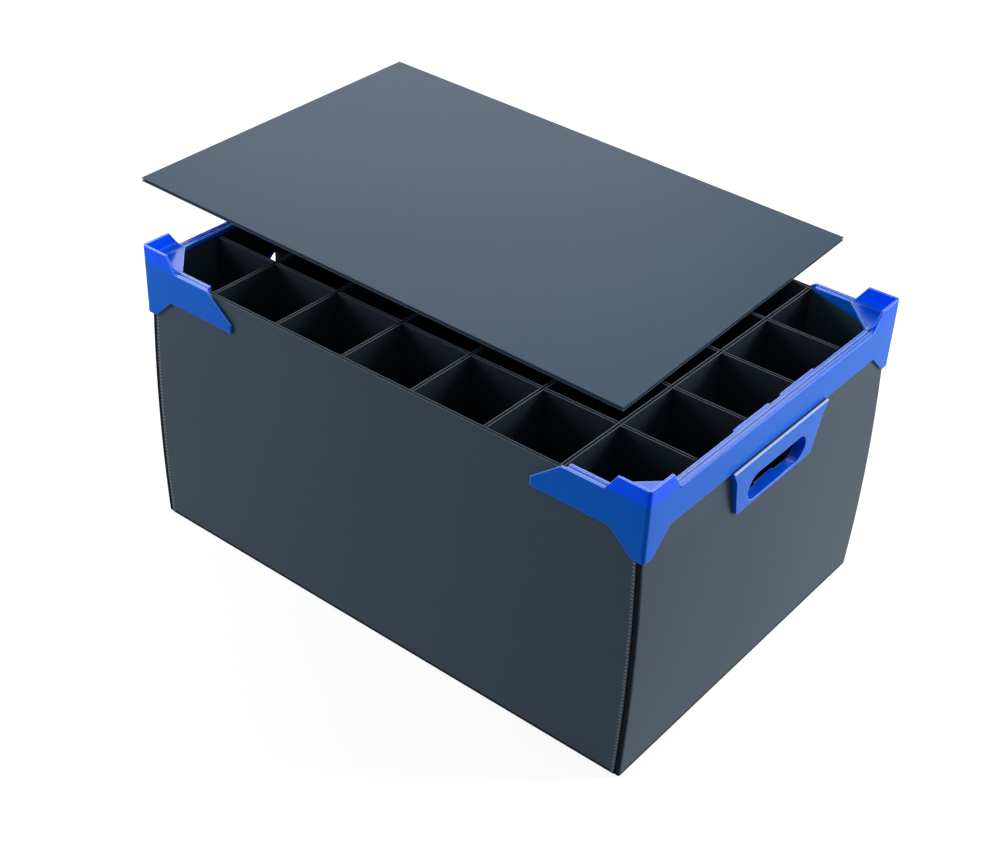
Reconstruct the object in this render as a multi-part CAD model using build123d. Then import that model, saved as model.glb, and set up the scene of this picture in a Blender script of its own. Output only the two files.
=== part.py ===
from build123d import *
import os
from math import atan2, cos, degrees, radians, sin

# Storage box for stemmed glasses: a folded shell of fluted plastic sheet with two moulded end frames,
# a grid of slotted dividers and a loose flat lid that lies askew on top.
# Millimetres. X runs along the box, Y across it, Z up. The origin is the middle of the underside.

# Fluted sheet, used for the shell, the dividers and the lid
sheet = 3.5
skin_of_sheet = 0.9
edge_groove_depth = 2.5

# Shell
box_length = 503.0
box_width = 347.0
wall_height = 255.8
end_wall_bow = 3.0
side_wall_bow = 0.5
straight_rim = 50.0
base_fold_radius = 2.5
corner_fold_radius = 1.5
end_wall_recess = 0.5
side_wall_setback = 1.5
flap_length = 48.0
flap_top_drop = 34.0
flap_taper = 22.0

# Grid of dividers
cell_count_along = 7
cell_count_across = 5
end_cell_extra = 3.0
side_cell_extra = 2.4
slot_play = 0.4
divider_end_play = 0.3
end_cell_play = 3.0
divider_corner_cut = 5.0
divider_top_notch_width = 2.6
divider_top_notch_depth = 18.0

# Moulded end frame
frame_skin = 2.0
frame_play = 0.2
frame_end_stand_off = 2.5
frame_side_stand_off = 2.5
frame_corner_radius = 3.0
shelf_thickness = 3.0
shelf_lip = 0.8
shelf_lip_height = 2.2
shelf_groove_width = 2.6
shelf_groove_depth = 0.7
band_drop = 29.0
gusset_drop = 48.0
gusset_reach = 31.0
gusset_foot = 10.0
gusset_rounding = 4.0
arm_reach = 102.0
arm_shelf_reach = 75.5
arm_shelf_setback = 3.5
arm_tip_height = 7.5
arm_tip_rounding = 1.7
post_rise = 14.6
post_top_reach = 28.0
post_foot_reach = 38.0
post_scoop_radius = 7.0
corner_web_reach = 36.0
inner_skirt_depth = 1.0
arm_skirt_depth = 17.0
clip_reach = 1.8
clip_depth = 14.0
clip_start = 8.5
clip_end = 56.5

# Handle of the end frame
hand_hole_width = 84.0
hand_hole_height = 25.0
hand_hole_drop = 54.8
liner_wall = 1.8
liner_play = 0.3
liner_inner_reach = 1.5
liner_tab_width = 26.0
liner_tab_reach = 1.8
plate_top_drop = 25.1
plate_drop = 45.0
plate_top_half_width = 67.5
plate_shoulder_half_width = 62.5
plate_shoulder_drop = 9.0
plate_bottom_half_width = 54.0
plate_ledge_height = 2.0
plate_top_stand_off = 6.0
plate_bottom_stand_off = 4.0
plate_corner_rounding = 2.5

# Lid, lying askew with its low edge on the grid and its raised side on one stacking post
lid_length = 503.0
lid_width = 350.0
lid_turn = 2.2
lid_edge_x = 162.0
lid_edge_y = 88.0
lid_seat_gap = 0.1

# Sizes that follow from the ones above
half_length = box_length / 2
half_width = box_width / 2
shelf_top = wall_height + shelf_thickness
post_top = shelf_top + post_rise
frame_end = half_length + frame_end_stand_off
frame_side = half_width + frame_side_stand_off
inner_end = half_length - sheet
inner_side = half_width - sheet
skirt_end = inner_end - frame_play - liner_wall
skirt_side = inner_side - frame_play - liner_wall
web_start = half_width - corner_web_reach
flap_height = wall_height - flap_top_drop
hand_hole_centre = wall_height - hand_hole_drop
plate_top = wall_height - plate_top_drop
pitch_along = (2 * inner_end - end_cell_extra) / cell_count_along
pitch_across = (2 * inner_side - side_cell_extra) / cell_count_across


def bowed_face(half, bow, bottom, top):
    """Upright outline between two walls that bow outwards, but are straight under the frames."""
    bow_top = wall_height - straight_rim
    middle = bow_top / 2
    radius = (middle**2 + bow**2) / (2 * bow)
    centre = half + bow - radius
    disc = Circle(radius)
    place = Pos(0, (bottom + top) / 2)
    straight = place * Rectangle(2 * half, top - bottom)
    bulged = place * Rectangle(4 * half, top - bottom)
    return straight + (bulged & (Pos(centre, middle) * disc) & (Pos(-centre, middle) * disc))


def wall_form(inset_along, inset_across, floor_height=0.0, fold_radius=0.0):
    """The body enclosed by the bowed walls, taken in by one inset at the ends and one at the sides."""
    spare = 2 * base_fold_radius
    long_face = bowed_face(half_length - inset_along, end_wall_bow, floor_height, wall_height)
    short_face = bowed_face(
        half_width - inset_across, side_wall_bow, floor_height - spare, wall_height + spare
    )
    along = extrude(Plane.XZ * long_face, box_width, both=True)
    across = extrude(Plane.YZ * short_face, box_length, both=True)
    form = along & across
    if fold_radius > 0:
        form = fillet(form.edges().group_by(Axis.Z)[0], fold_radius)
    return form


def stadium(width, height):
    """Slot outline with fully rounded ends, in the plane of an end wall."""
    return SlotOverall(width, height)


def prism_x(outline, start, end):
    """Outline drawn in Y and Z, drawn out along X from start to end."""
    return extrude(Plane.YZ.offset(start) * outline, end - start, dir=(1, 0, 0))


def prism_y(outline, start, end):
    """Outline drawn in X and Z, drawn out along Y from start to end."""
    return extrude(Plane.XZ.offset(-start) * outline, end - start, dir=(0, 1, 0))


def edge_groove(length):
    """The open flute between the two skins along a cut edge."""
    return Box(length, sheet - 2 * skin_of_sheet, 2 * edge_groove_depth)


def flaps():
    """Side flaps of the end walls, folded round the corners and glued inside the long walls."""
    start = inner_end - flap_length
    outline = Polygon(
        (start, sheet),
        (half_length, sheet),
        (half_length, flap_height),
        (start + flap_taper, flap_height),
        (start, flap_height - 2 * flap_taper),
        align=None,
    )
    reach = prism_y(outline, -box_width, box_width)
    lining = (wall_form(sheet, sheet, sheet) - wall_form(0, 2 * sheet)) & reach
    return lining + mirror(lining, Plane.YZ)


def box_shell():
    """One folded blank: base, long walls ending short of the folded end walls, glued side flaps."""
    cut_edge = sheet + side_wall_setback
    outside = -2 * sheet
    ends = wall_form(0, end_wall_recess, 0, base_fold_radius)
    corners = ends.edges().filter_by(lambda edge: edge.bounding_box().size.Z > straight_rim / 2)
    ends = fillet(corners, corner_fold_radius)
    sides = wall_form(cut_edge, 0, 0, base_fold_radius)
    room = wall_form(sheet, sheet, sheet)
    shell = ends + sides - room
    shell -= wall_form(sheet, outside, sheet) - wall_form(cut_edge, outside, sheet)
    core = wall_form(cut_edge, skin_of_sheet, sheet) - wall_form(0, sheet - skin_of_sheet)
    shell -= core - wall_form(cut_edge + edge_groove_depth, outside)
    shell += flaps()
    hole = stadium(
        hand_hole_width + 2 * (liner_wall + liner_play),
        hand_hole_height + 2 * (liner_wall + liner_play),
    )
    shell -= prism_x(Pos(0, hand_hole_centre) * hole, -box_length, box_length)
    for side in (-1, 1):
        groove_y = side * (half_width - sheet / 2)
        shell -= Pos(0, groove_y, wall_height) * edge_groove(2 * (half_length - cut_edge))
    return shell


def divider_blank(half_span):
    """Fluted sheet standing on the base, drawn in X and Z, with its lower corners cut off."""
    height = wall_height - sheet
    blank = Pos(0, 0, sheet + height / 2) * Box(2 * half_span, sheet, height)
    low_corners = blank.edges().filter_by(Axis.Y).group_by(Axis.Z)[0]
    blank = chamfer(low_corners, divider_corner_cut)
    return blank - Pos(0, 0, wall_height) * edge_groove(2 * half_span)


def slot_at(place, bottom, top):
    """Halving slot for a crossing divider."""
    return Pos(place, 0, (bottom + top) / 2) * Box(sheet + slot_play, 2 * sheet, top - bottom)


def line_places(cells, pitch):
    """Places of the dividers that part a row of cells."""
    return [(index + 1 - cells / 2) * pitch for index in range(cells - 1)]


def cross_divider():
    """Short divider, slotted from below, drawn along X and turned later."""
    divider = divider_blank(inner_side - divider_end_play)
    middle = (wall_height + sheet) / 2
    for place in line_places(cell_count_across, pitch_across):
        divider -= slot_at(place, 0, middle)
    return divider


def long_divider():
    """Long divider, slotted from above, with its top corners notched to clear the end frames."""
    half_span = inner_end - end_cell_play
    divider = divider_blank(half_span)
    middle = (wall_height + sheet) / 2
    for place in line_places(cell_count_along, pitch_along):
        divider -= slot_at(place, middle, wall_height + sheet)
    notch = Box(2 * divider_top_notch_width, 2 * sheet, 2 * divider_top_notch_depth)
    for end in (-1, 1):
        divider -= Pos(end * half_span, 0, wall_height) * notch
    return divider


def shelf():
    """Top of the end frame: U-shaped shelf over the wall edges with a web across each corner."""
    arm_end = frame_end - arm_shelf_reach + arm_shelf_setback
    half = Polyline(
        (frame_end, 0),
        (frame_end, frame_side),
        (arm_end, frame_side),
        (arm_end, skirt_side),
        (frame_end - corner_web_reach - frame_end_stand_off, skirt_side),
        (skirt_end, web_start),
        (skirt_end, 0),
        (frame_end, 0),
    )
    quarter = make_face(half.edges())
    plan = quarter + mirror(quarter, Plane.XZ)
    return extrude(Pos(0, 0, wall_height) * plan, shelf_thickness, dir=(0, 0, 1))


def side_outline():
    """Long side of the frame in X and Z: arm with a sloping tip, stacking post and corner gusset."""
    tip = frame_end - arm_reach
    band_foot = shelf_top - band_drop
    outline = Polygon(
        (frame_end, post_top),
        (frame_end - post_top_reach, post_top),
        (frame_end - post_foot_reach, shelf_top),
        (frame_end - arm_shelf_reach, shelf_top),
        (tip, band_foot + arm_tip_height),
        (tip, band_foot),
        (frame_end - gusset_reach, band_foot),
        (frame_end - gusset_foot, shelf_top - gusset_drop),
        (frame_end, shelf_top - gusset_drop),
        align=None,
    )
    low_corners = outline.vertices().group_by(Axis.Y)[0].sort_by(Axis.X)
    return fillet(low_corners[0], gusset_rounding)


def end_outline():
    """End of the frame in Y and Z: band with a gusset and a stacking post at each corner."""
    band_foot = shelf_top - band_drop
    half = Polygon(
        (0, shelf_top),
        (frame_side - post_foot_reach, shelf_top),
        (frame_side - post_top_reach, post_top),
        (frame_side, post_top),
        (frame_side, shelf_top - gusset_drop),
        (frame_side - gusset_foot, shelf_top - gusset_drop),
        (frame_side - gusset_reach, band_foot),
        (0, band_foot),
        align=None,
    )
    low_corners = half.vertices().group_by(Axis.Y)[0].sort_by(Axis.X)
    half = fillet(low_corners[1], gusset_rounding)
    return half + mirror(half, Plane.YZ)


def skins():
    """Outer skins on the end wall and on both long walls, with rounded arm tips."""
    side = prism_y(side_outline(), frame_side - frame_skin, frame_side)
    tip_edges = side.edges().filter_by(Axis.Z).group_by(Axis.X)[0]
    side = fillet(tip_edges.sort_by(Axis.Y)[-1], arm_tip_rounding)
    end = prism_x(end_outline(), frame_end - frame_skin, frame_end)
    return end + side + mirror(side, Plane.XZ)


def shelf_lip_bead():
    """Rounded bead along the outer edge of the end shelf, between the two posts."""
    reach = 2 * (frame_side - post_foot_reach)
    middle_x = frame_end - shelf_lip / 2
    middle_z = shelf_top - shelf_lip_height / 2
    bead = Pos(middle_x, 0, middle_z) * Box(3 * shelf_lip, reach, shelf_lip_height)
    outer_edges = bead.edges().filter_by(Axis.Y).group_by(Axis.X)[-1]
    return fillet(outer_edges, shelf_lip)


def shelf_grooves():
    """Shallow channels sunk along the middle of the shelf on the end wall and on both arms."""
    depth = 2 * shelf_groove_depth
    end_middle = (skirt_end + frame_end) / 2
    end_reach = 2 * (frame_side - post_foot_reach)
    end_groove = Pos(end_middle, 0, shelf_top) * Box(shelf_groove_width, end_reach, depth)
    arm_start = frame_end - arm_shelf_reach + arm_shelf_setback
    arm_end = frame_end - post_foot_reach
    arm_middle = (arm_start + arm_end) / 2
    side_middle = (skirt_side + frame_side) / 2
    arm_groove = Pos(arm_middle, side_middle, shelf_top) * Box(
        arm_end - arm_start, shelf_groove_width, depth
    )
    return end_groove + arm_groove + mirror(arm_groove, Plane.XZ)


def scoop_room(inner_face):
    """Outline of the room over the shelf, rounded where it meets the inner face of a post."""
    size = 2 * post_foot_reach
    room = Pos(inner_face - size / 2, shelf_top + size / 2) * Rectangle(size, size)
    foot = room.vertices().group_by(Axis.Y)[0].sort_by(Axis.X)[-1]
    return fillet(foot, post_scoop_radius)


def post_scoops():
    """Concave fillings between the inner faces of the posts and the shelf under them."""
    inner_x = frame_end - frame_skin
    inner_y = frame_side - frame_skin
    size = post_foot_reach
    block = Pos(inner_x - size / 2, inner_y - size / 2, shelf_top + post_rise / 2) * Box(
        size, size, post_rise
    )
    hollow = prism_y(scoop_room(inner_x), 0, box_width) & prism_x(scoop_room(inner_y), 0, box_length)
    within_side = prism_y(side_outline(), 0, frame_side)
    within_end = prism_x(end_outline(), 0, frame_end)
    scoop = (block - hollow) & within_side & within_end
    return scoop + mirror(scoop, Plane.XZ)


def inner_skirts():
    """Thin skirts that hold the shelf to the inside of the walls, and the two clips by the handle."""
    skirt = Pos(skirt_end + liner_wall / 2, 0, wall_height - inner_skirt_depth / 2) * Box(
        liner_wall, 2 * web_start, inner_skirt_depth
    )
    arm_start = frame_end - arm_shelf_reach + arm_shelf_setback
    outline = Polygon(
        (arm_start, wall_height),
        (arm_start, wall_height - inner_skirt_depth),
        (skirt_end, wall_height - arm_skirt_depth),
        (skirt_end, wall_height),
        align=None,
    )
    arm = prism_y(outline, skirt_side, skirt_side + liner_wall)
    clip_width = clip_end - clip_start
    clip = Pos(
        skirt_end - clip_reach / 2,
        (clip_start + clip_end) / 2,
        shelf_top - clip_depth / 2,
    ) * Box(clip_reach, clip_width, clip_depth)
    return skirt + arm + mirror(arm, Plane.XZ) + clip + mirror(clip, Plane.XZ)


def grip_outline(inset):
    """Outline of the grip plate in Y and Z: a wide ledge, curved shoulders and a tapering body."""
    plate_bottom = plate_top - plate_drop
    half = Polygon(
        (0, plate_top - inset),
        (plate_top_half_width - inset, plate_top - inset),
        (plate_top_half_width - inset, plate_top - inset - plate_ledge_height),
        (plate_shoulder_half_width - inset, plate_top - inset - plate_shoulder_drop),
        (plate_bottom_half_width - inset, plate_bottom + inset),
        (0, plate_bottom + inset),
        align=None,
    )
    if inset < plate_corner_rounding:
        low_corners = half.vertices().group_by(Axis.Y)[0].sort_by(Axis.X)
        half = fillet(low_corners[-1], plate_corner_rounding - inset)
    return half + mirror(half, Plane.YZ)


def handle_body():
    """Slanting grip plate with a ledge along its top, closed at its sides and open behind."""
    plate_bottom = plate_top - plate_drop
    top_x = half_length + plate_top_stand_off
    bottom_x = half_length + plate_bottom_stand_off
    wedge = Polygon(
        (inner_end, plate_top),
        (top_x, plate_top),
        (bottom_x, plate_bottom),
        (inner_end, plate_bottom),
        align=None,
    )
    slanted = prism_y(wedge, -box_width, box_width)
    grip = prism_x(grip_outline(0), inner_end, top_x) & slanted
    hollow = prism_x(grip_outline(frame_skin), inner_end, top_x) & slanted
    return grip - Pos(-frame_skin, 0, 0) * hollow


def handle_liner():
    """Stadium tube through the end wall, with a clip tab on the lower side of its inner end."""
    outer = stadium(hand_hole_width + 2 * liner_wall, hand_hole_height + 2 * liner_wall)
    inner_face = inner_end - liner_inner_reach
    slope = (plate_top_stand_off - plate_bottom_stand_off) / plate_drop
    centre_stand_off = plate_top_stand_off - slope * (plate_top - hand_hole_centre)
    outer_face = half_length + centre_stand_off - frame_skin / 2
    tube = prism_x(Pos(0, hand_hole_centre) * outer, inner_face, outer_face)
    tab_height = hand_hole_height / 2 + liner_wall
    tab = Pos(
        inner_face - liner_tab_reach / 2,
        0,
        hand_hole_centre - tab_height + liner_wall / 2,
    ) * Box(liner_tab_reach, liner_tab_width, liner_wall)
    return tube + tab


def end_frame():
    """Moulded end frame of the right-hand end, in one piece."""
    frame = shelf() + skins()
    corner = Box(2 * frame_corner_radius, 2 * frame_corner_radius, 2 * post_top)
    round_x = frame_end - frame_corner_radius
    round_y = frame_side - frame_corner_radius
    for side in (-1, 1):
        rounding = Pos(round_x, side * round_y, 0) * Cylinder(frame_corner_radius, 3 * post_top)
        frame -= Pos(frame_end, side * frame_side, post_top) * corner - rounding
    room = wall_form(-frame_play, -frame_play)
    frame -= room
    frame += post_scoops()
    frame += shelf_lip_bead()
    frame -= shelf_grooves()
    frame += inner_skirts()
    frame += handle_body() - room
    frame += handle_liner()
    hole = stadium(hand_hole_width, hand_hole_height)
    frame -= prism_x(Pos(0, hand_hole_centre) * hole, 0, box_length)
    return frame


def lid():
    """Flat sheet, low along its right-hand edge and raised on the rear left stacking post."""
    post_x = -(frame_end - post_top_reach)
    post_y = frame_side
    turn = radians(lid_turn)
    run = (lid_edge_x - post_x) * cos(turn) + (lid_edge_y - post_y) * sin(turn)
    tilt = degrees(atan2(post_top - wall_height, run))
    flat = Pos(-lid_length / 2, 0, sheet / 2) * Box(lid_length, lid_width, sheet)
    core = sheet - 2 * skin_of_sheet
    for side in (-1, 1):
        flat -= Pos(-lid_length / 2, side * lid_width / 2, sheet / 2) * Box(
            lid_length, 2 * edge_groove_depth, core
        )
        end_x = (side - 1) * lid_length / 2
        flat -= Pos(end_x, 0, sheet / 2) * Box(2 * edge_groove_depth, lid_width, core)
    seat = Pos(lid_edge_x, lid_edge_y, wall_height + lid_seat_gap)
    return seat * Rot(0, 0, lid_turn) * Rot(0, tilt, 0) * flat


def build():
    """All pieces by name."""
    frame = end_frame()
    pieces = {
        "box_shell": box_shell(),
        "end_frame_right": frame,
        "end_frame_left": mirror(frame, Plane.YZ),
        "lid": lid(),
    }
    cross = cross_divider()
    for number, place in enumerate(line_places(cell_count_along, pitch_along), start=1):
        pieces[f"cross_divider_{number}"] = Pos(place, 0, 0) * Rot(0, 0, 90) * cross
    lengthwise = long_divider()
    for number, place in enumerate(line_places(cell_count_across, pitch_across), start=1):
        pieces[f"long_divider_{number}"] = Pos(0, place, 0) * lengthwise
    return pieces


os.makedirs("parts", exist_ok=True)
for name, piece in build().items():
    export_step(piece, f"parts/{name}.step")
    print(name, round(piece.volume, 1))
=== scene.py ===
import math

import bpy
from mathutils import Matrix, Vector


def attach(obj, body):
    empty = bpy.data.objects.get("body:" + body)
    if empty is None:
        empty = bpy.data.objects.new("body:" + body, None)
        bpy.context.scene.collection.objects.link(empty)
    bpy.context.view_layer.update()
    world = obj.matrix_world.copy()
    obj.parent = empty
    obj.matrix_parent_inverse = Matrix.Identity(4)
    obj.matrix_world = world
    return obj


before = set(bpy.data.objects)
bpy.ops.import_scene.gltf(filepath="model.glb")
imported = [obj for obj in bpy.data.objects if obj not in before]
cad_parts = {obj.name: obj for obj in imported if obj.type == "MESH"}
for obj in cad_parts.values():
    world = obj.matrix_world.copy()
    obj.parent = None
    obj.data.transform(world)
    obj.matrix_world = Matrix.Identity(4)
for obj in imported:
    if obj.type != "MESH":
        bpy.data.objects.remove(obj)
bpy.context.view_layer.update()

# Lengths and places below are in metres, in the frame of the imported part. Angles are in degrees.

# Fluted sheet
SHEET = 0.0035
SHEET_SKIN = 0.0009
FLUTE_PITCH = 0.0035
FLUTE_WEB = 0.0004
GROOVE_DEPTH = 0.0025
WEB_SET_BACK = 0.0002

# Long walls of the shell, whose upright cut edges follow the bow of the end walls
LONG_WALL_EDGE_X = 0.2465
LONG_WALL_Y = 0.17175
END_WALL_BOW = 0.003
SIDE_WALL_BOW = 0.0005
STRAIGHT_RIM = 0.050

# Corners of the shell: how far the painted shade on the fold of an end wall shows past the cut edge
# of a long wall, and how far before that edge the flute ends fade in and out
FOLD_WIDTH = 0.0038
FOLD_SOFTNESS = 0.0006
FOLD_START = 0.0004
FLUTE_END_REACH = (0.0034, 0.0018)
FLUTE_END_CLEAR = 0.0012

# Painted shade along the foot of the walls, and the height at which it has faded
FOOT_LINE = 0.0034
FOOT_LINE_END = 0.0046

# Seat of the lid: its low edge on the grid, its raised side on one stacking post
LID_LENGTH = 0.503
LID_WIDTH = 0.350
LID_TURN = 2.2
LID_EDGE = (0.162, 0.088, 0.2559)
POST_CORNER = (-0.226, 0.176)
POST_TOP = 0.2734

# Camera, found from the box's own edges in the photograph
CAMERA_AZIMUTH = 37.43
CAMERA_ELEVATION = 34.331
CAMERA_ROLL = 2.761
CAMERA_PLACE = (0.723404, -0.959229, 0.942100)
CAMERA_FOCAL_SHARE = 1.686482
SENSOR_WIDTH = 36.0

# The blue moulding is free of the sheet behind it above the walls, and painted brighter, as if lit
# through, from this height up
WALL_TOP = 0.2558
LIT_THROUGH_HEIGHT = 0.2628

# Room inside the hand holes' liners, a little larger than the opening
LINER_HALF_LENGTH = 0.0435
LINER_MIDDLE = 0.2011
LINER_HALF_HEIGHT = 0.0135

# Ledge along the top of the grip plates: painted shade next to the band, and a painted highlight along
# its outer edge
LEDGE_HALF_LENGTH = 0.0685
LEDGE_TOP = 0.2307
LEDGE_REACH = 0.0025
LEDGE_SHADE_X = 0.2553
LEDGE_BRIGHT_X = 0.2560

# Ribs and streaks of the sheet
RIB_SHARPNESS = 6.0
RIB_DARKNESS = 0.08
STREAKS_PER_METRE = 7.0
STREAKS_PER_FLUTE = 0.45

# Sheet materials: tones as shares of the plain colour, covers of each effect, roughness and relief
RIB_TONE = 1.3
CLOUD_TONE = 0.85
SHEET_CLOUD_COVER = 0.5
SHEET_EDGE_HIGHLIGHT_COVER = 0.55
SEAM_SHADE_COVER = 0.95
FLUTE_END_COVER = 0.8
SEAM_ROUGHNESS = 0.4
SHEET_SPECKLE_ROUGHNESS = 0.14
SHEET_SPECKLE_RELIEF = 0.25
SHEET_RELIEF_DEPTH = 0.0003

# Blue moulding, in the same way
BLUE_CLOUD_COVER = 0.25
BLUE_EDGE_HIGHLIGHT_COVER = 0.5
BLUE_HIGHLIGHT_COVER = 0.75
BLUE_CREASE_SHADE_COVER = 0.85
BLUE_ROUGHNESS = 0.26
BLUE_SPECKLE_ROUGHNESS = 0.12
BLUE_TOP_POLISH = 0.5
BLUE_RELIEF_STRENGTH = 0.12
BLUE_RELIEF_DEPTH = 0.0002

# A surface faces along an axis where that part of its direction passes this value
FACING_LIMIT = 0.5

# Where the ramps of the masks begin and end
SIDEWAYS_RANGE = (0.45, 0.75)
UPWARDS_RANGE = (0.80, 0.97)
UPPER_EDGE_RANGE = (0.15, 0.4)
EDGE_TURN_RANGE = (0.01, 0.12)
CREASE_RANGE = (0.25, 0.75)
FLUTE_END_RANGE = (-0.3, 0.6)

# Floor and studio. The surroundings light the part with one strength and are seen at another
FLOOR_HALF_SIZE = 6.0
FLOOR_DROP = 0.0005
FLOOR_COLOUR = (0.35, 0.35, 0.35)
FLOOR_GLOW = 0.8
WORLD_LIGHT = 0.3
WORLD_SEEN = 1.0
WHITE = (1.0, 1.0, 1.0)

# Colours, as linear red, green and blue
# Shell, lid and dividers are one black sheet: the lid's copy is painted lighter for the light on its
# top, the dividers' darker for the shade in the cells
SHELL_COLOUR = (0.034, 0.054, 0.078)
LID_LIT_COLOUR = (0.038, 0.068, 0.104)
DIVIDER_SHADED_COLOUR = (0.0085, 0.012, 0.018)
# Painted shade on the folds of the end walls and along the foot of the walls
FOLD_SHADE_COLOUR = (0.001, 0.001, 0.003)
FLUTE_END_COLOUR = (0.22, 0.23, 0.25)
# Painted highlight along the edges of the black sheet
SHEET_EDGE_HIGHLIGHT_COLOUR = (0.14, 0.17, 0.21)
SHEET_SHEEN_TINT = (0.6, 0.8, 1.0)
BLUE_BACKED = (0.001, 0.118, 0.63)
# Painted light shining through the blue where no sheet lies behind it
BLUE_LIT_THROUGH = (0.000, 0.100, 0.98)
BLUE_CLOUD = (0.001, 0.106, 0.57)
# Painted highlights on the blue's edges, its upper edges and the grip ledges, and painted shade in its
# creases
BLUE_EDGE_HIGHLIGHT = (0.10, 0.30, 0.95)
BLUE_HIGHLIGHT = (0.42, 0.62, 1.00)
LEDGE_GLINT = (0.80, 0.90, 1.00)
BLUE_CREASE_SHADE = (0.000, 0.008, 0.10)
BLUE_SHEEN_TINT = (0.15, 0.5, 1.0)


def socket(group, name, kind, way="INPUT", value=None):
    """Adds a named socket to a node group."""
    made = group.interface.new_socket(name=name, in_out=way, socket_type=kind)
    if value is not None:
        made.default_value = value
    return made


class Wiring:
    """Short names for adding and joining the nodes of one tree."""

    def __init__(self, tree):
        self.tree = tree

    def add(self, kind, **settings):
        node = self.tree.nodes.new(kind)
        for name, value in settings.items():
            setattr(node, name, value)
        return node

    def join(self, output, target):
        self.tree.links.new(output, target)
        return target

    def feed(self, target, value):
        """Joins an output to a socket, or sets the socket to a number."""
        if isinstance(value, bpy.types.NodeSocket):
            self.join(value, target)
        else:
            target.default_value = value

    def math(self, operation, first, second=0.0, third=0.0):
        node = self.add("ShaderNodeMath", operation=operation)
        for target, value in zip(node.inputs, (first, second, third)):
            self.feed(target, value)
        return node.outputs[0]

    def product(self, first, *others):
        """Two or more values multiplied together."""
        for other in others:
            first = self.math("MULTIPLY", first, other)
        return first

    def place_parts(self):
        """X, Y and Z of a point's place on the part."""
        place = self.add("ShaderNodeTexCoord")
        split = self.add("ShaderNodeSeparateXYZ")
        self.join(place.outputs["Object"], split.inputs[0])
        return split.outputs

    def facing_parts(self):
        """X, Y and Z of the direction in which the surface faces."""
        surface = self.add("ShaderNodeNewGeometry")
        split = self.add("ShaderNodeSeparateXYZ")
        self.join(surface.outputs["True Normal"], split.inputs[0])
        return split.outputs

    def between(self, value, low, high):
        """Smooth ramp from 0 at low to 1 at high."""
        node = self.add("ShaderNodeMapRange", interpolation_type="SMOOTHSTEP")
        self.feed(node.inputs["Value"], value)
        node.inputs["From Min"].default_value = low
        node.inputs["From Max"].default_value = high
        return node.outputs["Result"]

    def mix(self, share, first, second):
        """Colour between two colours."""
        node = self.add("ShaderNodeMix", data_type="RGBA")
        self.feed(node.inputs["Factor"], share)
        for target, value in ((node.inputs["A"], first), (node.inputs["B"], second)):
            self.feed(self.colour_socket(node, target.name), value)
        return self.colour_output(node)

    @staticmethod
    def colour_socket(node, name):
        return next(s for s in node.inputs if s.name == name and s.type == "RGBA")

    @staticmethod
    def colour_output(node):
        return next(s for s in node.outputs if s.type == "RGBA")


def new_group(name):
    """An empty shader node group with its way in and way out."""
    group = bpy.data.node_groups.new(name, "ShaderNodeTree")
    wiring = Wiring(group)
    return group, wiring, wiring.add("NodeGroupInput"), wiring.add("NodeGroupOutput")


def build_flute_group():
    """Ribs of fluted sheet: upright on end walls and along X elsewhere, or all level if Level is 1."""
    group, w, way_in, way_out = new_group("Flute ribs")
    socket(group, "Pitch", "NodeSocketFloat", value=FLUTE_PITCH)
    socket(group, "Level", "NodeSocketFloat", value=0.0)
    socket(group, "Unevenness", "NodeSocketFloat", value=0.4)
    socket(group, "Height", "NodeSocketFloat", "OUTPUT")
    socket(group, "Tone", "NodeSocketFloat", "OUTPUT")
    place = w.place_parts()
    facing = w.facing_parts()
    on_long_wall = w.math("GREATER_THAN", w.math("ABSOLUTE", facing["Y"]), FACING_LIMIT)
    level = w.math("MAXIMUM", on_long_wall, way_in.outputs["Level"])
    change = w.math("SUBTRACT", place["Z"], place["Y"])
    across = w.math("MULTIPLY_ADD", change, level, place["Y"])
    on_end_wall = w.math("GREATER_THAN", w.math("ABSOLUTE", facing["X"]), FACING_LIMIT)
    rise = w.math("SUBTRACT", place["Z"], place["X"])
    along = w.math("MULTIPLY_ADD", rise, on_end_wall, place["X"])
    turns = w.math("DIVIDE", across, way_in.outputs["Pitch"])
    wave = w.math("COSINE", w.math("MULTIPLY", turns, 2 * math.pi))
    rib = w.math("POWER", w.math("MULTIPLY_ADD", wave, 0.5, 0.5), RIB_SHARPNESS)
    stretched = w.add("ShaderNodeCombineXYZ")
    w.join(w.math("MULTIPLY", along, STREAKS_PER_METRE), stretched.inputs["X"])
    w.join(w.math("MULTIPLY", turns, STREAKS_PER_FLUTE), stretched.inputs["Y"])
    streak = w.add("ShaderNodeTexNoise")
    w.join(stretched.outputs[0], streak.inputs["Vector"])
    streak.inputs["Scale"].default_value = 1.0
    streak.inputs["Detail"].default_value = 5.0
    streak.inputs["Roughness"].default_value = 0.65
    uneven = w.math("SUBTRACT", streak.outputs[0], 0.5)
    lift = w.math("MULTIPLY", uneven, way_in.outputs["Unevenness"])
    w.join(w.math("ADD", rib, lift), way_out.inputs["Height"])
    tone = w.math("MULTIPLY_ADD", rib, -RIB_DARKNESS, w.math("ADD", lift, 0.5))
    w.join(tone, way_out.inputs["Tone"])
    return group


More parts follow.
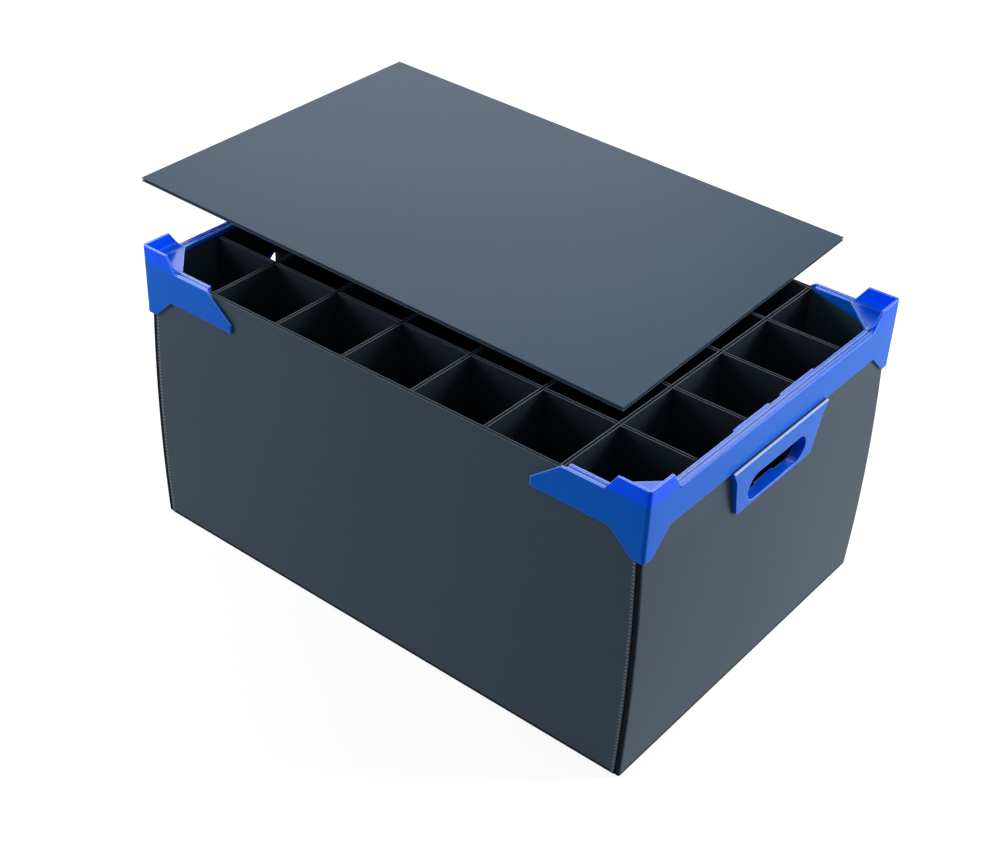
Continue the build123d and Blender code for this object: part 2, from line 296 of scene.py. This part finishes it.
def build_seam_group():
    """Corners of the shell: painted shade on the folds of the end walls, flute ends beside them, and
    painted shade along the foot.
    """
    group, w, way_in, way_out = new_group("Corner seams")
    socket(group, "Edge X", "NodeSocketFloat", value=LONG_WALL_EDGE_X)
    socket(group, "Bow", "NodeSocketFloat", value=END_WALL_BOW)
    socket(group, "Bow Height", "NodeSocketFloat", value=WALL_TOP - STRAIGHT_RIM)
    socket(group, "Pitch", "NodeSocketFloat", value=FLUTE_PITCH)
    socket(group, "Fold Width", "NodeSocketFloat", value=FOLD_WIDTH)
    for name in ("Fold", "Flute Ends", "Foot"):
        socket(group, name, "NodeSocketFloat", "OUTPUT")
    place = w.place_parts()
    facing = w.facing_parts()
    middle = w.math("MULTIPLY", way_in.outputs["Bow Height"], 0.5)
    level = w.math("DIVIDE", w.math("SUBTRACT", place["Z"], middle), middle)
    share = w.math("MAXIMUM", w.math("SUBTRACT", 1.0, w.math("MULTIPLY", level, level)), 0.0)
    edge = w.math("MULTIPLY_ADD", way_in.outputs["Bow"], share, way_in.outputs["Edge X"])
    past = w.math("SUBTRACT", w.math("ABSOLUTE", place["X"]), edge)
    sideways = w.between(w.math("ABSOLUTE", facing["Y"]), *SIDEWAYS_RANGE)
    beyond = w.between(w.math("SUBTRACT", past, way_in.outputs["Fold Width"]), 0.0, FOLD_SOFTNESS)
    band = w.product(w.between(past, 0.0, FOLD_START), w.math("SUBTRACT", 1.0, beyond))
    w.join(w.product(band, sideways), way_out.inputs["Fold"])
    strip_start = w.between(past, -FLUTE_END_REACH[0], -FLUTE_END_REACH[1])
    strip_end = w.between(past, -FLUTE_END_CLEAR, 0.0)
    strip = w.product(strip_start, w.math("SUBTRACT", 1.0, strip_end))
    turns = w.math("DIVIDE", place["Z"], way_in.outputs["Pitch"])
    wave = w.math("COSINE", w.math("MULTIPLY", turns, 2 * math.pi))
    dots = w.between(wave, *FLUTE_END_RANGE)
    w.join(w.product(strip, dots, sideways), way_out.inputs["Flute Ends"])
    foot = w.math("SUBTRACT", 1.0, w.between(place["Z"], FOOT_LINE, FOOT_LINE_END))
    w.join(foot, way_out.inputs["Foot"])
    return group


def build_upper_group():
    """Mask of the faces that look upwards."""
    group, w, way_in, way_out = new_group("Upper faces")
    socket(group, "Mask", "NodeSocketFloat", "OUTPUT")
    w.join(w.between(w.facing_parts()["Z"], *UPWARDS_RANGE), way_out.inputs["Mask"])
    return group


def build_zone_group():
    """Masks of a zone of the end frames, centred in Y: all of it, and its faces that line a hole."""
    group, w, way_in, way_out = new_group("End zone")
    socket(group, "Half Length", "NodeSocketFloat", value=LINER_HALF_LENGTH)
    socket(group, "Middle", "NodeSocketFloat", value=LINER_MIDDLE)
    socket(group, "Half Height", "NodeSocketFloat", value=LINER_HALF_HEIGHT)
    socket(group, "Mask", "NodeSocketFloat", "OUTPUT")
    socket(group, "Lining", "NodeSocketFloat", "OUTPUT")
    place = w.place_parts()
    off_middle = w.math("ABSOLUTE", w.math("SUBTRACT", place["Z"], way_in.outputs["Middle"]))
    in_height = w.math("LESS_THAN", off_middle, way_in.outputs["Half Height"])
    in_length = w.math("LESS_THAN", w.math("ABSOLUTE", place["Y"]), way_in.outputs["Half Length"])
    in_zone = w.product(in_height, in_length)
    w.join(in_zone, way_out.inputs["Mask"])
    inward = w.math("LESS_THAN", w.math("ABSOLUTE", w.facing_parts()["X"]), FACING_LIMIT)
    w.join(w.product(in_zone, inward), way_out.inputs["Lining"])
    return group


def build_edge_group():
    """Masks for painted highlights on the edges and upper edges and for painted shade in the creases,
    and the normal with the edges rounded.
    """
    group, w, way_in, way_out = new_group("Soft edges")
    socket(group, "Radius", "NodeSocketFloat", value=0.0006)
    socket(group, "Gain", "NodeSocketFloat", value=2.0)
    socket(group, "Crease Reach", "NodeSocketFloat", value=0.0022)
    socket(group, "Highlight Width", "NodeSocketFloat", value=0.0013)
    socket(group, "Mask", "NodeSocketFloat", "OUTPUT")
    socket(group, "Upper Edge", "NodeSocketFloat", "OUTPUT")
    socket(group, "Crease", "NodeSocketFloat", "OUTPUT")
    socket(group, "Normal", "NodeSocketVector", "OUTPUT")
    surface = w.add("ShaderNodeNewGeometry")

    def rounding(radius_name, samples):
        """The normal rounded over a radius, and how far it turns from the plain one."""
        bevel = w.add("ShaderNodeBevel", samples=samples)
        w.join(way_in.outputs[radius_name], bevel.inputs["Radius"])
        dot = w.add("ShaderNodeVectorMath", operation="DOT_PRODUCT")
        w.join(bevel.outputs[0], dot.inputs[0])
        w.join(surface.outputs["True Normal"], dot.inputs[1])
        return bevel.outputs[0], w.math("SUBTRACT", 1.0, dot.outputs["Value"])

    normal, turned = rounding("Radius", 6)
    gained = w.add("ShaderNodeMath", operation="MULTIPLY", use_clamp=True)
    w.join(turned, gained.inputs[0])
    w.join(way_in.outputs["Gain"], gained.inputs[1])
    w.join(gained.outputs[0], way_out.inputs["Mask"])
    w.join(normal, way_out.inputs["Normal"])
    wide_normal, wide_turned = rounding("Highlight Width", 4)
    split = w.add("ShaderNodeSeparateXYZ")
    w.join(wide_normal, split.inputs[0])
    upwards = w.between(split.outputs["Z"], *UPPER_EDGE_RANGE)
    turned_far = w.between(wide_turned, *EDGE_TURN_RANGE)
    w.join(w.product(turned_far, upwards), way_out.inputs["Upper Edge"])
    # Ambient occlusion finds the creases, as a mask for painted shade
    cover = w.add("ShaderNodeAmbientOcclusion", samples=6, only_local=True)
    w.join(way_in.outputs["Crease Reach"], cover.inputs["Distance"])
    hidden = w.math("SUBTRACT", 1.0, cover.outputs["AO"])
    w.join(w.between(hidden, *CREASE_RANGE), way_out.inputs["Crease"])
    return group


def build_handling_group():
    """Slow clouding and fine speckle from moulding, stacking and wiping."""
    group, w, way_in, way_out = new_group("Handling")
    socket(group, "Cloud Scale", "NodeSocketFloat", value=9.0)
    socket(group, "Speckle Scale", "NodeSocketFloat", value=900.0)
    socket(group, "Cloud", "NodeSocketFloat", "OUTPUT")
    socket(group, "Speckle", "NodeSocketFloat", "OUTPUT")
    place = w.add("ShaderNodeTexCoord")
    for scale, output, detail in (("Cloud Scale", "Cloud", 3.0), ("Speckle Scale", "Speckle", 2.0)):
        noise = w.add("ShaderNodeTexNoise")
        w.join(place.outputs["Object"], noise.inputs["Vector"])
        w.join(way_in.outputs[scale], noise.inputs["Scale"])
        noise.inputs["Detail"].default_value = detail
        w.join(noise.outputs[0], way_out.inputs[output])
    return group


def put_group(w, group, **values):
    """Places a node group in a material with its own values."""
    node = w.add("ShaderNodeGroup", node_tree=group)
    for name, value in values.items():
        node.inputs[name.replace("_", " ")].default_value = value
    return node


def new_material(name):
    """A material with one Principled shader, and the wiring of its tree."""
    material = bpy.data.materials.new(name)
    material.use_nodes = True
    return material, Wiring(material.node_tree), material.node_tree.nodes["Principled BSDF"]


def with_alpha(colour):
    return (*colour, 1.0)


def add_bump(w, shader, height, under_normal, strength, distance):
    """Fine relief on top of the rounded edges."""
    bump = w.add("ShaderNodeBump")
    bump.inputs["Strength"].default_value = strength
    bump.inputs["Distance"].default_value = distance
    w.join(height, bump.inputs["Height"])
    w.join(under_normal, bump.inputs["Normal"])
    w.join(bump.outputs[0], shader.inputs["Normal"])


def sheet_material(name, colour, level, rib_strength, roughness, sheen, corner_seams=False):
    """Black fluted polypropylene: faint ribs, a satin skin and painted highlights along the edges."""
    material, w, shader = new_material(name)
    ribs = put_group(w, flute_group, Level=level)
    edges = put_group(w, edge_group, Radius=0.0005, Gain=2.2)
    handling = put_group(w, handling_group, Cloud_Scale=6.0, Speckle_Scale=1300.0)
    speckle = handling.outputs["Speckle"]
    paler = tuple(RIB_TONE * value for value in colour)
    toned = w.mix(ribs.outputs["Tone"], with_alpha(colour), with_alpha(paler))
    darker = tuple(CLOUD_TONE * value for value in colour)
    cloud_share = w.product(handling.outputs["Cloud"], SHEET_CLOUD_COVER)
    clouded = w.mix(cloud_share, toned, with_alpha(darker))
    # Painted highlight along the edges
    edge_highlight_share = w.product(edges.outputs["Mask"], SHEET_EDGE_HIGHLIGHT_COVER)
    finished = w.mix(edge_highlight_share, clouded, with_alpha(SHEET_EDGE_HIGHLIGHT_COLOUR))
    rough = w.math("MULTIPLY_ADD", speckle, SHEET_SPECKLE_ROUGHNESS, roughness)
    if corner_seams:
        seams = put_group(w, seam_group)
        # Painted shade: near black on the folds of the end walls and along the foot of the walls
        fold_or_foot_shade = w.math("MAXIMUM", seams.outputs["Fold"], seams.outputs["Foot"])
        painted_shade_share = w.product(fold_or_foot_shade, SEAM_SHADE_COVER)
        finished = w.mix(painted_shade_share, finished, with_alpha(FOLD_SHADE_COLOUR))
        ends_share = w.product(seams.outputs["Flute Ends"], FLUTE_END_COVER)
        finished = w.mix(ends_share, finished, with_alpha(FLUTE_END_COLOUR))
        rough = w.math("MULTIPLY_ADD", painted_shade_share, SEAM_ROUGHNESS, rough)
    w.join(finished, shader.inputs["Base Color"])
    w.join(rough, shader.inputs["Roughness"])
    height = w.math("MULTIPLY_ADD", speckle, SHEET_SPECKLE_RELIEF, ribs.outputs["Height"])
    add_bump(w, shader, height, edges.outputs["Normal"], rib_strength, SHEET_RELIEF_DEPTH)
    shader.inputs["Specular IOR Level"].default_value = sheen
    shader.inputs["Specular Tint"].default_value = with_alpha(SHEET_SHEEN_TINT)
    return material


def blue_material():
    """Slightly translucent blue moulding, with painted light through it where no sheet lies behind,
    and painted highlights and shade.
    """
    material, w, shader = new_material("blue_moulding")
    edges = put_group(w, edge_group, Radius=0.0009, Gain=1.8)
    handling = put_group(w, handling_group, Cloud_Scale=14.0, Speckle_Scale=2200.0)
    speckle = handling.outputs["Speckle"]
    place = w.place_parts()

    # Painted brighter, as light shining through, where it stands free of the sheet: above the walls
    # and inside the hand holes
    liner = put_group(w, zone_group)
    above_walls = w.between(place["Z"], WALL_TOP, LIT_THROUGH_HEIGHT)
    clear = w.math("MAXIMUM", above_walls, liner.outputs["Lining"])
    body = w.mix(clear, with_alpha(BLUE_BACKED), with_alpha(BLUE_LIT_THROUGH))
    cloud_share = w.product(handling.outputs["Cloud"], BLUE_CLOUD_COVER)
    clouded = w.mix(cloud_share, body, with_alpha(BLUE_CLOUD))

    # Painted highlights on the edges, brighter on edges that look upwards, and painted shade in the
    # creases
    edge_highlight_share = w.product(edges.outputs["Mask"], BLUE_EDGE_HIGHLIGHT_COVER)
    edge_highlit = w.mix(edge_highlight_share, clouded, with_alpha(BLUE_EDGE_HIGHLIGHT))
    highlight_share = w.product(edges.outputs["Upper Edge"], BLUE_HIGHLIGHT_COVER)
    highlit = w.mix(highlight_share, edge_highlit, with_alpha(BLUE_HIGHLIGHT))
    crease_shade_share = w.product(edges.outputs["Crease"], BLUE_CREASE_SHADE_COVER)
    crease_shaded = w.mix(crease_shade_share, highlit, with_alpha(BLUE_CREASE_SHADE))

    # The ledge of the grip plate: painted shade next to the band and a painted highlight along its
    # outer edge
    ledge = put_group(
        w, zone_group, Half_Length=LEDGE_HALF_LENGTH, Middle=LEDGE_TOP, Half_Height=LEDGE_REACH
    )
    upper = put_group(w, upper_group)
    ledge_top = w.math("MAXIMUM", upper.outputs["Mask"], edges.outputs["Upper Edge"])
    ledge_glint_share = w.product(ledge.outputs["Mask"], ledge_top)
    outer_part = w.between(w.math("ABSOLUTE", place["X"]), LEDGE_SHADE_X, LEDGE_BRIGHT_X)
    ledge_shade_and_glint = w.mix(outer_part, with_alpha(BLUE_CREASE_SHADE), with_alpha(LEDGE_GLINT))
    finished = w.mix(ledge_glint_share, crease_shaded, ledge_shade_and_glint)

    w.join(finished, shader.inputs["Base Color"])
    rough = w.math("MULTIPLY_ADD", speckle, BLUE_SPECKLE_ROUGHNESS, BLUE_ROUGHNESS)
    w.join(rough, shader.inputs["Roughness"])
    top_polish = w.product(upper.outputs["Mask"], BLUE_TOP_POLISH)
    polish = w.math("MAXIMUM", top_polish, edges.outputs["Mask"])
    w.join(polish, shader.inputs["Coat Weight"])
    shader.inputs["Coat Roughness"].default_value = 0.2
    add_bump(w, shader, speckle, edges.outputs["Normal"], BLUE_RELIEF_STRENGTH, BLUE_RELIEF_DEPTH)
    shader.inputs["Specular IOR Level"].default_value = 0.1
    shader.inputs["Specular Tint"].default_value = with_alpha(BLUE_SHEEN_TINT)
    shader.inputs["Subsurface Weight"].default_value = 0.7
    shader.inputs["Subsurface Radius"].default_value = (0.02, 0.15, 1.0)
    shader.inputs["Subsurface Scale"].default_value = 0.006
    return material


def dress(node_name, material):
    """Gives a node of the part its material."""
    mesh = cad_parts[node_name].data
    mesh.materials.clear()
    mesh.materials.append(material)


flute_group = build_flute_group()
edge_group = build_edge_group()
handling_group = build_handling_group()
seam_group = build_seam_group()
upper_group = build_upper_group()
zone_group = build_zone_group()

shell_sheet = sheet_material(
    "black_sheet_shell",
    SHELL_COLOUR,
    level=0.0,
    rib_strength=0.08,
    roughness=0.36,
    sheen=0.1,
    corner_seams=True,
)
# Dividers: the sheet painted darker for the shade inside the cells
divider_shaded_sheet = sheet_material(
    "black_sheet_divider_shaded", DIVIDER_SHADED_COLOUR, level=1.0, rib_strength=0.08, roughness=0.42, sheen=0.3
)
# Lid: the sheet painted lighter for the light falling on its top
lid_lit_sheet = sheet_material(
    "black_sheet_lid_lit", LID_LIT_COLOUR, level=0.0, rib_strength=0.15, roughness=0.36, sheen=0.08
)
blue = blue_material()

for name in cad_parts:
    if "divider" in name:
        dress(name, divider_shaded_sheet)
    elif "frame" in name:
        dress(name, blue)
    elif name == "lid":
        dress(name, lid_lit_sheet)
    else:
        dress(name, shell_sheet)


def wall_bow(height, bow):
    """How far a bowed wall stands out at a height. It is straight under the frames."""
    middle = (WALL_TOP - STRAIGHT_RIM) / 2
    radius = (middle**2 + bow**2) / (2 * bow)
    reach = radius**2 - (height - middle) ** 2
    return max(0.0, bow - radius + math.sqrt(reach))


def box_points(low, high):
    """Corners of a box, for the faces of add_boxes."""
    return [
        Vector((x, y, z))
        for z in (low[2], high[2])
        for x, y in ((low[0], low[1]), (high[0], low[1]), (high[0], high[1]), (low[0], high[1]))
    ]


def add_boxes(name, boxes, place, material):
    """One object of many small boxes, each given by its low and its high corner."""
    sides = ((3, 2, 1, 0), (4, 5, 6, 7), (0, 1, 5, 4), (1, 2, 6, 5), (2, 3, 7, 6), (3, 0, 4, 7))
    points = []
    faces = []
    for low, high in boxes:
        start = len(points)
        points += box_points(low, high)
        faces += [tuple(start + corner for corner in side) for side in sides]
    mesh = bpy.data.meshes.new(name)
    mesh.from_pydata(points, [], faces)
    mesh.materials.append(material)
    made = bpy.data.objects.new(name, mesh)
    made.matrix_world = place
    bpy.context.scene.collection.objects.link(made)
    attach(made, "root")


def steps(start, end, pitch):
    """Even places between two ends, a pitch apart and centred."""
    count = int((end - start) / pitch)
    first = (start + end - (count - 1) * pitch) / 2
    return [first + index * pitch for index in range(count)]


def wall_edge_webs(side_x, side_y):
    """Webs between the skins of a long wall, seen in its upright cut edge."""
    half_gap = SHEET / 2 - SHEET_SKIN
    boxes = []
    for height in steps(SHEET, WALL_TOP, FLUTE_PITCH):
        edge = LONG_WALL_EDGE_X + wall_bow(height, END_WALL_BOW)
        middle = side_y * (LONG_WALL_Y + wall_bow(height, SIDE_WALL_BOW))
        xs = sorted((side_x * (edge - GROOVE_DEPTH), side_x * (edge - WEB_SET_BACK)))
        low = (xs[0], middle - half_gap, height - FLUTE_WEB / 2)
        high = (xs[1], middle + half_gap, height + FLUTE_WEB / 2)
        boxes.append((low, high))
    return boxes


def lid_edge_webs():
    """Webs in the two short edges of the lid, in the lid's own place."""
    boxes = []
    for across in steps(-LID_WIDTH / 2 + GROOVE_DEPTH, LID_WIDTH / 2 - GROOVE_DEPTH, FLUTE_PITCH):
        for start in (WEB_SET_BACK - LID_LENGTH, -GROOVE_DEPTH):
            low = (start, across - FLUTE_WEB / 2, SHEET_SKIN)
            high = (start + GROOVE_DEPTH - WEB_SET_BACK, across + FLUTE_WEB / 2, SHEET - SHEET_SKIN)
            boxes.append((low, high))
    return boxes


def lid_place():
    """Where the lid lies: its edge as the hinge, tilted until it meets the stacking post."""
    turn = math.radians(LID_TURN)
    along_x = LID_EDGE[0] - POST_CORNER[0]
    along_y = LID_EDGE[1] - POST_CORNER[1]
    run = along_x * math.cos(turn) + along_y * math.sin(turn)
    tilt = math.atan2(POST_TOP - WALL_TOP, run)
    return Matrix.Translation(LID_EDGE) @ Matrix.Rotation(turn, 4, "Z") @ Matrix.Rotation(tilt, 4, "Y")


for side_x, end_name in ((1, "right"), (-1, "left")):
    for side_y, wall_name in ((1, "rear"), (-1, "front")):
        webs = wall_edge_webs(side_x, side_y)
        add_boxes(f"flute_webs_{wall_name}_{end_name}", webs, Matrix.Identity(4), shell_sheet)
add_boxes("flute_webs_lid", lid_edge_webs(), lid_place(), lid_lit_sheet)


def add_camera():
    """Camera at the photograph's viewing angle."""
    azimuth = math.radians(CAMERA_AZIMUTH)
    elevation = math.radians(CAMERA_ELEVATION)
    roll = math.radians(CAMERA_ROLL)
    back = Vector((
        math.sin(azimuth) * math.cos(elevation),
        -math.cos(azimuth) * math.cos(elevation),
        math.sin(elevation),
    ))
    right = Vector((0, 0, 1)).cross(back).normalized()
    up = back.cross(right)
    rolled_right = math.cos(roll) * right + math.sin(roll) * up
    rolled_up = -math.sin(roll) * right + math.cos(roll) * up
    turn = Matrix((rolled_right, rolled_up, back)).transposed()
    data = bpy.data.cameras.new("camera")
    data.sensor_width = SENSOR_WIDTH
    data.lens = SENSOR_WIDTH * CAMERA_FOCAL_SHARE
    data.clip_start = 0.01
    data.clip_end = 50.0
    camera = bpy.data.objects.new("camera", data)
    camera.matrix_world = Matrix.Translation(CAMERA_PLACE) @ turn.to_4x4()
    bpy.context.scene.collection.objects.link(camera)
    bpy.context.scene.camera = camera


def add_lamp(name, place, target, size, power):
    """Soft square lamp that shines on a point."""
    data = bpy.data.lights.new(name, "AREA")
    data.shape = "SQUARE"
    data.size = size
    data.energy = power
    lamp = bpy.data.objects.new(name, data)
    lamp.location = place
    lamp.rotation_mode = "QUATERNION"
    lamp.rotation_quaternion = (Vector(target) - Vector(place)).to_track_quat("-Z", "Y")
    bpy.context.scene.collection.objects.link(lamp)


def add_world(light, seen):
    """Even white surroundings: one strength for light, another for what is seen."""
    world = bpy.data.worlds.new("studio")
    bpy.context.scene.world = world
    world.use_nodes = True
    w = Wiring(world.node_tree)
    background = world.node_tree.nodes["Background"]
    path = w.add("ShaderNodeLightPath")
    looked_at = w.math("MAXIMUM", path.outputs["Is Camera Ray"], path.outputs["Is Glossy Ray"])
    looked_at = w.math("MAXIMUM", looked_at, path.outputs["Is Transmission Ray"])
    strength = w.math("MULTIPLY_ADD", looked_at, seen - light, light)
    w.join(strength, background.inputs["Strength"])
    background.inputs["Color"].default_value = with_alpha(WHITE)


def add_floor():
    """Pale floor that keeps a faint shadow of the object."""
    mesh = bpy.data.meshes.new("floor")
    reach = FLOOR_HALF_SIZE
    corners = [(-reach, -reach, 0), (reach, -reach, 0), (reach, reach, 0), (-reach, reach, 0)]
    mesh.from_pydata(corners, [], [(0, 1, 2, 3)])
    floor = bpy.data.objects.new("floor", mesh)
    floor.location.z = -FLOOR_DROP
    bpy.context.scene.collection.objects.link(floor)
    material, w, shader = new_material("floor_white")
    shader.inputs["Base Color"].default_value = with_alpha(FLOOR_COLOUR)
    shader.inputs["Roughness"].default_value = 0.9
    shader.inputs["Specular IOR Level"].default_value = 0.0
    path = w.add("ShaderNodeLightPath")
    looked_at = w.math("MAXIMUM", path.outputs["Is Camera Ray"], path.outputs["Is Glossy Ray"])
    w.join(w.product(looked_at, FLOOR_GLOW), shader.inputs["Emission Strength"])
    shader.inputs["Emission Color"].default_value = with_alpha(WHITE)
    mesh.materials.append(material)


add_camera()
add_lamp("key", place=(-1.35, 1.6, 1.65), target=(0, 0, 0.2), size=1.6, power=25.0)
add_lamp("side", place=(1.55, 1.35, 0.8), target=(0.2, 0.1, 0.15), size=0.9, power=46.0)
add_lamp("fill", place=(-1.25, -1.0, 0.8), target=(-0.2, 0, 0.15), size=0.8, power=19.0)
add_world(light=WORLD_LIGHT, seen=WORLD_SEEN)
add_floor()

bpy.context.scene.view_settings.view_transform = "Standard"
